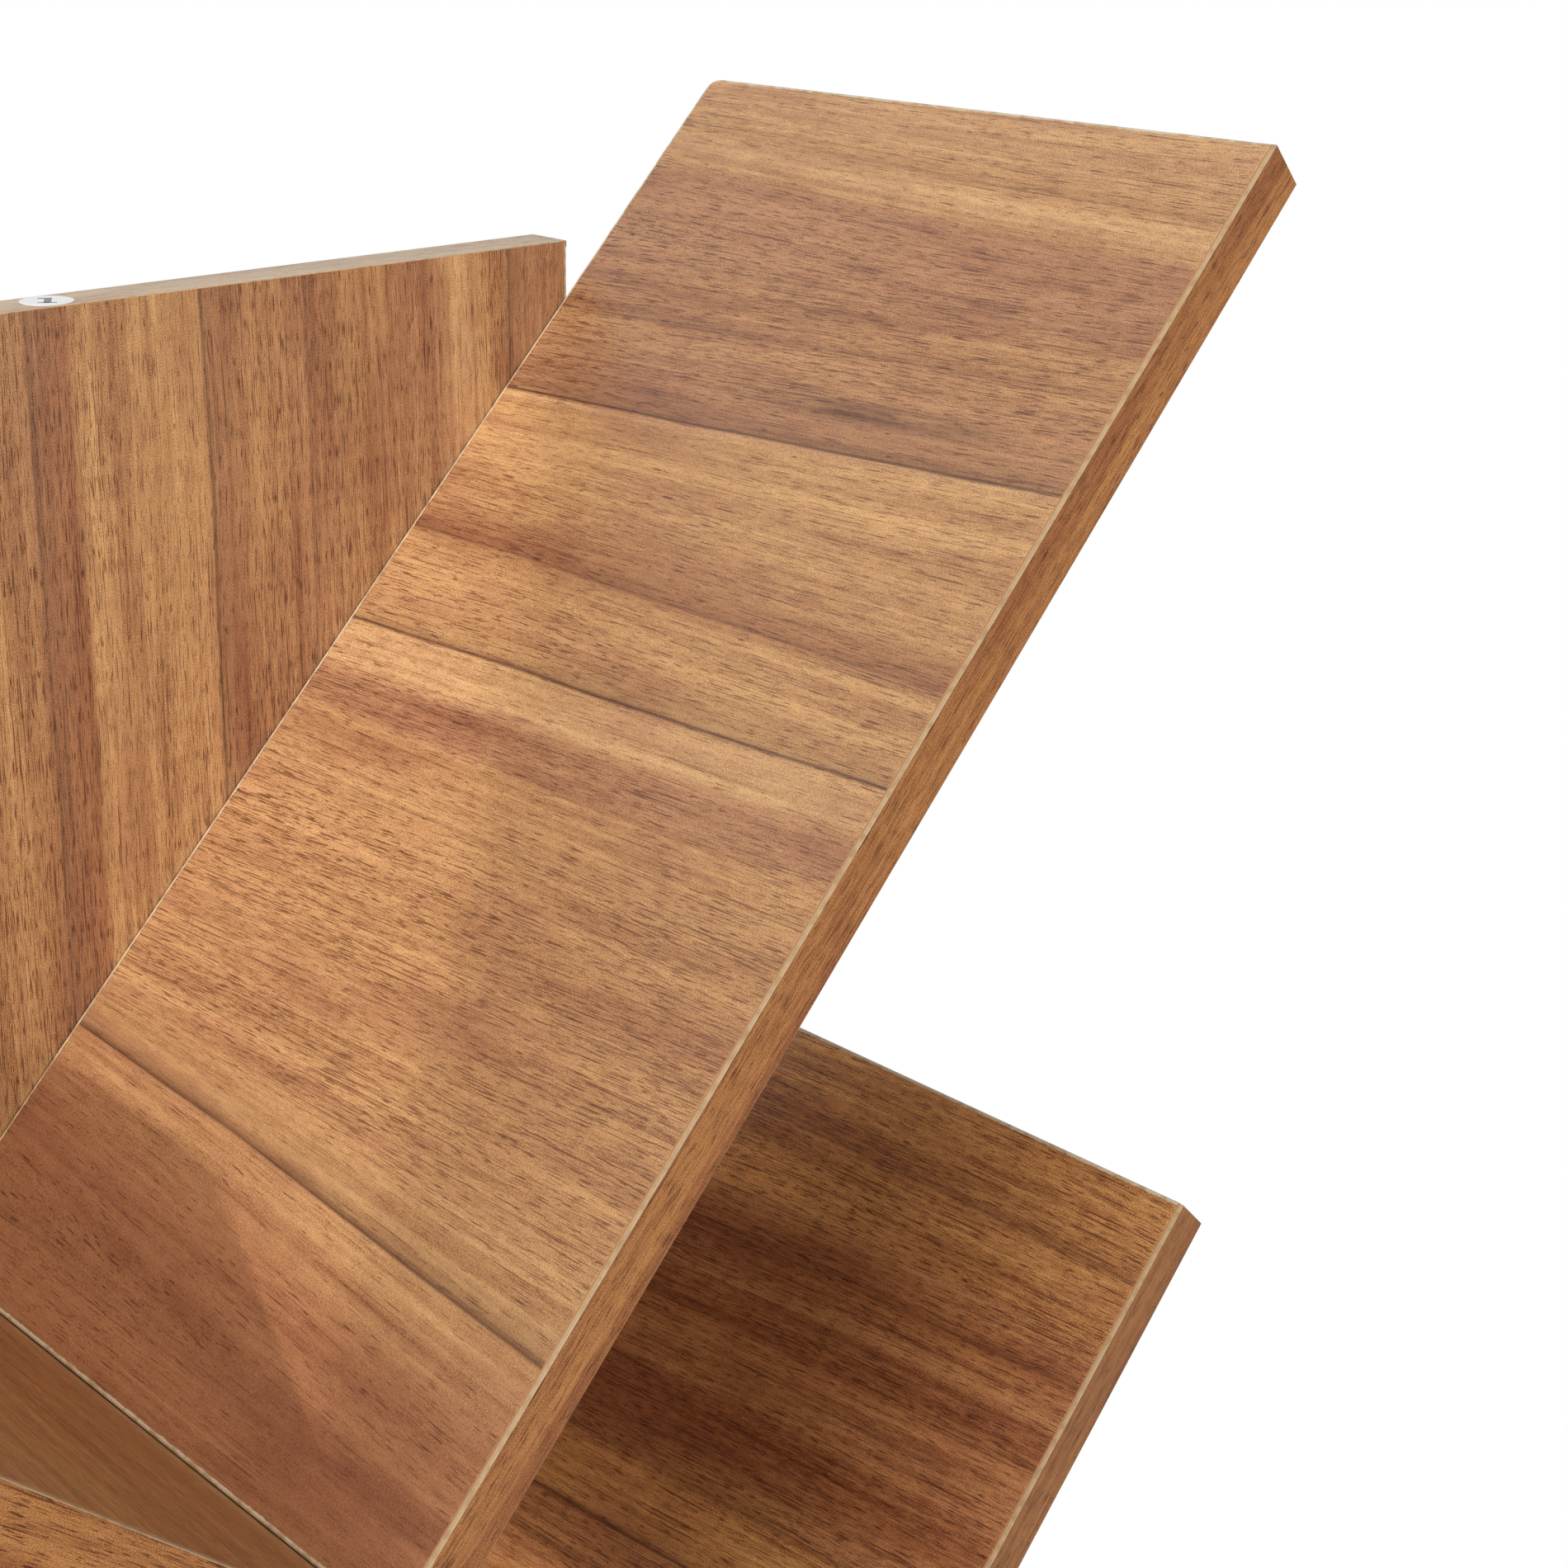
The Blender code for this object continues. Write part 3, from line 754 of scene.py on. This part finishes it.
def trimmed_plastic(name, printed_from):
    """The pale, scuffed core of a trimmed band, and the board's tone behind the given depth."""
    material, tree, surface = new_material(name)
    place = object_place(tree)
    scuff = noise(tree, stretched(tree, place, CORE_SCUFFS), 3.0)
    core = mixed(tree, remap(tree, scuff, CORE_SCUFF_SPAN, (0.0, 1.0)), TRIMMED_CORE, SCUFFED_CORE)
    ragged = maths(tree, "MULTIPLY_ADD", scuff, CORE_RAGGED, printed_from - CORE_RAGGED / 2)
    behind = maths(tree, "GREATER_THAN", parts(tree, place)[1], ragged)
    plug(tree, surface["Base Color"], mixed(tree, behind, core, EDGE_TONE))
    plug(tree, surface["Roughness"], remap(tree, scuff, (0.3, 0.7), CORE_ROUGHNESS))
    surface["Specular IOR Level"].default_value = CORE_SPECULAR
    return material


BAND_TONE = (0.500, 0.208, 0.066)
# Painted shade: a darker tone for the lower right shelf's strip, which gets less light below the shelf
# above.
PAINTED_SHADE_BAND_TONE = (0.400, 0.160, 0.042)
BAND_LOOK = (1.2, 0.55, (0.40, 0.50))
CORE_SHOWN = 0.00120
band_prints = {
    run: band_print(f"band_print_{run}", axes, BAND_TONE, *BAND_LOOK) for run, axes in BAND_RUN.items()}
painted_shade_band_print = band_print("band_print_painted_shade", BAND_RUN["right"], PAINTED_SHADE_BAND_TONE, *BAND_LOOK)
trimmed_core = trimmed_plastic("trimmed_core", shelf_front + CORE_SHOWN)
print("band materials", sorted(band_prints))

# %% [markdown]
# ## Strips on the front edges
# A box with eased edges is such a strip. Its front face takes the print and all the cut faces the core. It
# reaches back into the board's eased edge, so no gap shows between them, and it replaces the frame's band.

# %% Band pieces
BAND_EASE = 0.00025
EASE_STEPS = 2
END_TRIM = 0.0002
ARRIS = 0.0005
SAME_WAY = 0.98


def finished_piece(name, shape, *materials):
    """A bmesh made into an object of the scene, with its materials in order."""
    mesh = bpy.data.meshes.new(name)
    shape.to_mesh(mesh)
    shape.free()
    for material in materials:
        mesh.materials.append(material)
    piece = bpy.data.objects.new(name, mesh)
    bpy.context.scene.collection.objects.link(piece)
    return piece


def strip_piece(name, low, high, place, faced, core=trimmed_core):
    """A trimmed strip between two corners of its own frame; faced pairs a direction with its material."""
    shape = bmesh.new()
    middle = Matrix.Translation((Vector(high) + Vector(low)) / 2)
    size = Matrix.Diagonal((*(Vector(high) - Vector(low)), 1.0))
    bmesh.ops.create_cube(shape, size=1.0, matrix=middle @ size)
    bmesh.ops.bevel(
        shape, geom=shape.edges[:], affect="EDGES", offset=BAND_EASE, segments=EASE_STEPS,
        profile=0.5, material=-1)
    shape.normal_update()
    for face in shape.faces:
        for number, (direction, _) in enumerate(faced, start=1):
            if face.normal.dot(Vector(direction)) > SAME_WAY:
                face.material_index = number
    bmesh.ops.transform(shape, matrix=place, verts=shape.verts)
    return finished_piece(name, shape, core, *(material for _, material in faced))


def stand_for(piece, slot, *replaced):
    """Let a piece ride on the frame in place of its node."""
    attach(piece, "root")
    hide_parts(*replaced)


band_back = board_front + ARRIS
for tier in TIERS:
    for side, sign in SIDES.items():
        ends = sorted((FIT_GAP if sign > 0 else BOARD, sign * (SHELF_LENGTH - END_TRIM)))
        tilt = Matrix.Rotation(-sign * SLOPE, 4, "Y")
        place = Matrix.Translation((0.0, 0.0, corner_height[tier])) @ tilt
        # The lower right shelf's strip takes the darker tone of painted shade.
        front_print = painted_shade_band_print if (side, tier) == ("right", 3) else band_prints[side]
        strip = strip_piece(
            f"{side}_front_strip_{tier}", (ends[0], shelf_front, -BOARD), (ends[1], band_back, 0.0), place,
            ((FRONTWARD, front_print),))
        stand_for(strip, "walnut_edge_band", f"{side}_shelf_band_{tier}")

base_low, base_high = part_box("base_band")
base_strip = strip_piece(
    "base_front_strip", base_low, (base_high.x, band_back, base_high.z), Matrix.Identity(4),
    ((FRONTWARD, band_prints["level"]),))
stand_for(base_strip, "walnut_edge_band", "base_band")

# %% [markdown]
# ## The band on the panel's top
# The panel's top edge has a paler strip with only a faint grain. Its pale tone is partly painted sheen, for
# the white that the top face reflects at a grazing angle. It is the same kind of piece, with its print on
# top. Its sides are so thin that the panel's own print seems to run over them, so they take the panel's
# material. Its upper edges keep the pale core, and its lower ones are sunk into the panel, so that they
# draw no second line.

# %% Panel top band
# Partly painted sheen: the pale tone stands for the white that the top face reflects at a grazing angle.
TOP_TONE_WITH_SHEEN = (0.52, 0.38, 0.245)
TOP_LOOK = (0.9, 0.35, (0.34, 0.44))

top_print = band_print("band_print_top", (TO_BACK, TO_RIGHT, UPRIGHT), TOP_TONE_WITH_SHEEN, *TOP_LOOK)
top_core = trimmed_plastic("trimmed_top_core", top_band_high.y + BOARD)
top_strip_low = (top_band_low.x, top_band_low.y, panel_high.z - ARRIS - BAND_EASE)
top_strip = strip_piece(
    "panel_top_strip", top_strip_low, top_band_high, Matrix.Identity(4),
    ((UPRIGHT, top_print), (FRONTWARD, panel_walnut), (TO_BACK, panel_walnut)), top_core)
stand_for(top_strip, "pale_edge_band", "panel_top_band")
print("top strip", round(panel_high.z, 4), round(top_band_high.z, 4))

# %% [markdown]
# ## The numbered dot
# Flat-pack boards carry small paper dots that number them for assembly. The dot here is a thin disc with a
# rounded rim, and its plain figure is a few boxes laid just over the paper, hardly thicker than ink.

# %% Paper dot and its figure
DOT_RADIUS = 0.0066
DOT_THICKNESS = 0.00012
DOT_CENTRE = Vector((0.0621, (top_band_low.y + top_band_high.y) / 2, top_band_high.z))
DOT_PAPER = (0.82, 0.84, 0.82)
DOT_INK = (0.16, 0.17, 0.18)
FIGURE_TURN = Matrix.Rotation(math.radians(-32), 4, "Z")
FIGURE_ASIDE = 0.0003
FIGURE_THICKNESS = 0.00002
FIGURE_STROKES = (
    ((-0.0009, -0.0034), (0.0009, 0.0034)),
    ((-0.0023, -0.0034), (0.0023, -0.0025)),
    ((-0.0026, 0.0022), (-0.0009, 0.0034)),
)
MOTTLE_SPAN = (0.3, 0.7)
MOTTLE_ROUGHNESS = 0.06


def plain_material(name, colour, roughness, speckle, size):
    """A plain finish with a faint mottle of its own."""
    material, tree, surface = new_material(name)
    mottle = noise(tree, stretched(tree, object_place(tree), (size,) * 3), 3.0)
    darker = tuple(part * (1.0 - speckle) for part in colour)
    plug(tree, surface["Base Color"], mixed(tree, mottle, (*colour, 1.0), (*darker, 1.0)))
    levels = (roughness - MOTTLE_ROUGHNESS, roughness + MOTTLE_ROUGHNESS)
    plug(tree, surface["Roughness"], remap(tree, mottle, MOTTLE_SPAN, levels))
    return material


half_way = DOT_CENTRE + Vector((0.0, 0.0, DOT_THICKNESS / 2))
disc = bmesh.new()
bmesh.ops.create_cone(
    disc, cap_ends=True, segments=64, radius1=DOT_RADIUS, radius2=DOT_RADIUS, depth=DOT_THICKNESS,
    matrix=Matrix.Translation(half_way))
rim = [edge for edge in disc.edges if all(end.co.z > half_way.z for end in edge.verts)]
bmesh.ops.bevel(
    disc, geom=rim, affect="EDGES", offset=DOT_THICKNESS / 2, segments=2, profile=0.5, material=-1)
number_dot = finished_piece("number_dot", disc, plain_material("dot_paper", DOT_PAPER, 0.45, 0.06, 900.0))
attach(number_dot, "root")

strokes = bmesh.new()
figure_place = Matrix.Translation(DOT_CENTRE + Vector((FIGURE_ASIDE, 0.0, DOT_THICKNESS))) @ FIGURE_TURN
for low, high in FIGURE_STROKES:
    size = Vector((high[0] - low[0], high[1] - low[1], FIGURE_THICKNESS))
    middle = Vector(((high[0] + low[0]) / 2, (high[1] + low[1]) / 2, FIGURE_THICKNESS / 2))
    stroke = Matrix.Translation(middle) @ Matrix.Diagonal((*size, 1.0))
    bmesh.ops.create_cube(strokes, size=1.0, matrix=figure_place @ stroke)
dot_figure = finished_piece("dot_figure", strokes, plain_material("dot_ink", DOT_INK, 0.5, 0.2, 1500.0))
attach(dot_figure, "root")
print("dot at", [round(v, 4) for v in DOT_CENTRE])

# %% [markdown]
# ## Screws, dowels and glides
# The panel screws are zinc-plated steel, whose fine turning marks blur what they reflect. The dowels are
# bare beech with a faint mottle, and the glides are dark moulded plastic with a sandy skin.

# %% Metal, beech and plastic
ZINC_MARKS = (1800.0, 500.0, 1800.0)
ZINC_BRIGHT = (0.66, 0.66, 0.63, 1.0)
ZINC_DULL = (0.50, 0.51, 0.50, 1.0)
ZINC_ROUGHNESS = (0.26, 0.44)
BEECH = (0.62, 0.44, 0.26)
GLIDE_DARK = (0.035, 0.035, 0.037)


def zinc(name):
    """Zinc-plated steel with fine marks."""
    material, tree, surface = new_material(name)
    marks = noise(tree, stretched(tree, object_place(tree), ZINC_MARKS), 3.0)
    plug(tree, surface["Base Color"], mixed(tree, marks, ZINC_BRIGHT, ZINC_DULL))
    plug(tree, surface["Roughness"], remap(tree, marks, MOTTLE_SPAN, ZINC_ROUGHNESS))
    surface["Metallic"].default_value = 1.0
    return material


steel = zinc("zinc_plate")
beech = plain_material("beech_dowel", BEECH, 0.62, 0.25, 700.0)
plastic = plain_material("glide_plastic", GLIDE_DARK, 0.50, 0.30, 1200.0)
for name in nodes:
    if "_screw_" in name:
        dress(name, steel)
    elif "_dowel_" in name:
        dress(name, beech)
    elif name.startswith("glide_"):
        dress(name, plastic)
print("screws", len([n for n in nodes if "_screw_" in n]))

# %% [markdown]
# ## Floor and surroundings
# The shelf stands on a pale floor that turns to plain white a little way off, as a studio sweep does. The
# world is white to the camera and in reflections, and dimmer as a light, so that the lamps still model the
# boards.

# %% Floor and world
FLOOR_RADIUS = 12.0
FLOOR_TONE = (0.88, 0.88, 0.87, 1.0)
FLOOR_ROUGHNESS = 0.7
SWEEP = (0.25, 1.20)
WHITE = (1.0, 1.0, 1.0, 1.0)
AMBIENT = 0.10


def seen_or_mirrored(tree):
    """1 for rays from the camera or from a mirror-like surface, else 0."""
    rays = tree.nodes.new("ShaderNodeLightPath").outputs
    seen = maths(tree, "MAXIMUM", rays["Is Camera Ray"], rays["Is Glossy Ray"])
    return maths(tree, "MAXIMUM", seen, rays["Is Transmission Ray"])


pale_floor, tree, surface = new_material("pale_floor")
surface["Base Color"].default_value = FLOOR_TONE
surface["Roughness"].default_value = FLOOR_ROUGHNESS
reach = tree.nodes.new("ShaderNodeVectorMath")
reach.operation = "LENGTH"
plug(tree, reach.inputs[0], object_place(tree))
away = remap(tree, reach.outputs["Value"], SWEEP, (0.0, 1.0), smooth=True)
white = tree.nodes.new("ShaderNodeEmission")
white.inputs["Color"].default_value = WHITE
blend = tree.nodes.new("ShaderNodeMixShader")
plug(tree, blend.inputs["Fac"], maths(tree, "MULTIPLY", away, seen_or_mirrored(tree)))
plug(tree, blend.inputs[1], tree.nodes["Principled BSDF"].outputs["BSDF"])
plug(tree, blend.inputs[2], white.outputs["Emission"])
plug(tree, tree.nodes["Material Output"].inputs["Surface"], blend.outputs["Shader"])

ground = bmesh.new()
bmesh.ops.create_circle(ground, cap_ends=True, segments=96, radius=FLOOR_RADIUS)
floor = finished_piece("floor", ground, pale_floor)

world = bpy.data.worlds.new("white_studio")
bpy.context.scene.world = world
world.use_nodes = True
sky = world.node_tree.nodes["Background"].inputs
sky["Color"].default_value = WHITE
plug(world.node_tree, sky["Strength"], remap(
    world.node_tree, seen_or_mirrored(world.node_tree), (0.0, 1.0), (AMBIENT, 1.0)))
print("ambient", AMBIENT)

# %% [markdown]
# ## Softboxes
# Soft studio light comes from large lamps. A softbox over the left lights the rising shelf, one in front
# reaches into the V and onto the back panel, and one behind keeps the back from going dark. The one behind
# would glare on the shelves when they are seen from the front, so it isn't mirrored. The power of each
# follows from its distance, for the level at which a colour shows about as it is written.

# %% Softboxes
AIM = Vector((0.10, 0.0, 1.10))
SOFTBOX_AWAY = 3.0
SOFTBOXES = {
    "left_softbox": ((-0.80, -0.24, 0.72), 1.8, 0.77, True),
    "front_softbox": ((-0.10, -1.00, 0.50), 1.8, 0.40, True),
    "back_softbox": ((-0.15, 1.00, 0.10), 1.6, 0.40, False),
}


def softbox(name, direction, size, level, mirrored):
    """A round area lamp that faces the shelf, and is or isn't mirrored in its faces."""
    data = bpy.data.lights.new(name, "AREA")
    data.shape = "DISK"
    data.size = size
    data.energy = math.pi ** 2 * level * SOFTBOX_AWAY ** 2
    lamp = bpy.data.objects.new(name, data)
    lamp.location = AIM + Vector(direction).normalized() * SOFTBOX_AWAY
    lamp.rotation_mode = "QUATERNION"
    lamp.rotation_quaternion = (AIM - lamp.location).to_track_quat("-Z", "Y")
    lamp.visible_glossy = mirrored
    bpy.context.scene.collection.objects.link(lamp)
    return data.energy


for name, values in SOFTBOXES.items():
    print(name, "watts", round(softbox(name, *values)))

# %% [markdown]
# ## A narrow spot
# In the photograph a faint, sharp-edged patch of light lies deep in the V: one of its sides is the left
# shelf's shadow, the other is the edge of a narrow beam. A spot lamp with a hard rim gives both. Its place
# follows from the shadow of the left shelf's top corner, and its direction puts the beam's rim along the
# patch. Light linking leaves the floor out of it, or the rim would draw an arc there.

# %% Spot
SPOT_PLACE = Vector((-1.873, -0.735, 2.481))
SPOT_RIM = (Vector((0.2227, 0.0925, 1.2398)), Vector((0.0134, -0.0645, 1.0305)))
SPOT_HALF_ANGLE = math.radians(20)
SPOT_BLEND = 0.02
SPOT_RADIUS = 0.012
SPOT_LEVEL = 0.33

first, second = [(point - SPOT_PLACE).normalized() for point in SPOT_RIM]
between = (first + second).normalized()
sideways = first.cross(second).normalized()
lean = math.acos(math.cos(SPOT_HALF_ANGLE) / between.dot(first))
axis = between * math.cos(lean) + sideways * math.sin(lean)
if axis.y < between.y:
    axis = between * math.cos(lean) - sideways * math.sin(lean)
spot_data = bpy.data.lights.new("narrow_spot", "SPOT")
spot_data.spot_size = 2 * SPOT_HALF_ANGLE
spot_data.spot_blend = SPOT_BLEND
spot_data.shadow_soft_size = SPOT_RADIUS
spot_data.energy = 4 * math.pi ** 2 * SPOT_LEVEL * (SPOT_RIM[1] - SPOT_PLACE).length_squared
spot = bpy.data.objects.new("narrow_spot", spot_data)
spot.location = SPOT_PLACE
spot.rotation_mode = "QUATERNION"
spot.rotation_quaternion = axis.to_track_quat("-Z", "Y")
bpy.context.scene.collection.objects.link(spot)
unlit = bpy.data.collections.new("out_of_the_spot")
unlit.objects.link(floor)
spot.light_linking.receiver_collection = unlit
unlit.collection_objects[0].light_linking.link_state = "EXCLUDE"
print("spot axis", [round(v, 3) for v in axis], "watts", round(spot_data.energy))

# %% [markdown]
# ## The camera
# The photograph was taken close by, from the front left and a little above the top. The camera's place,
# direction and lens come from fitting the board edges of the frame to the edges in the picture.

# %% Camera
CAMERA_PLACE = (-0.2447, -0.4473, 1.3694)
CAMERA_AHEAD = Vector((0.68010, 0.64933, -0.34035)).normalized()
CAMERA_UP = Vector((0.23028, 0.25154, 0.94005))
CAMERA_SENSOR = 36.0
CAMERA_LENS = 56.118
CAMERA_SHIFT = -0.04211
NEAREST, FARTHEST = 0.02, 60.0

eye_data = bpy.data.cameras.new("camera")
eye_data.sensor_width = CAMERA_SENSOR
eye_data.lens = CAMERA_LENS
eye_data.shift_y = CAMERA_SHIFT
eye_data.clip_start = NEAREST
eye_data.clip_end = FARTHEST
eye = bpy.data.objects.new("camera", eye_data)
aside = CAMERA_AHEAD.cross(CAMERA_UP).normalized()
upward = aside.cross(CAMERA_AHEAD)
turn = Matrix((aside, upward, -CAMERA_AHEAD)).transposed().to_4x4()
eye.matrix_world = Matrix.Translation(CAMERA_PLACE) @ turn
bpy.context.scene.collection.objects.link(eye)
bpy.context.scene.camera = eye
bpy.context.scene.view_settings.view_transform = "Standard"
print("lens", eye_data.lens)
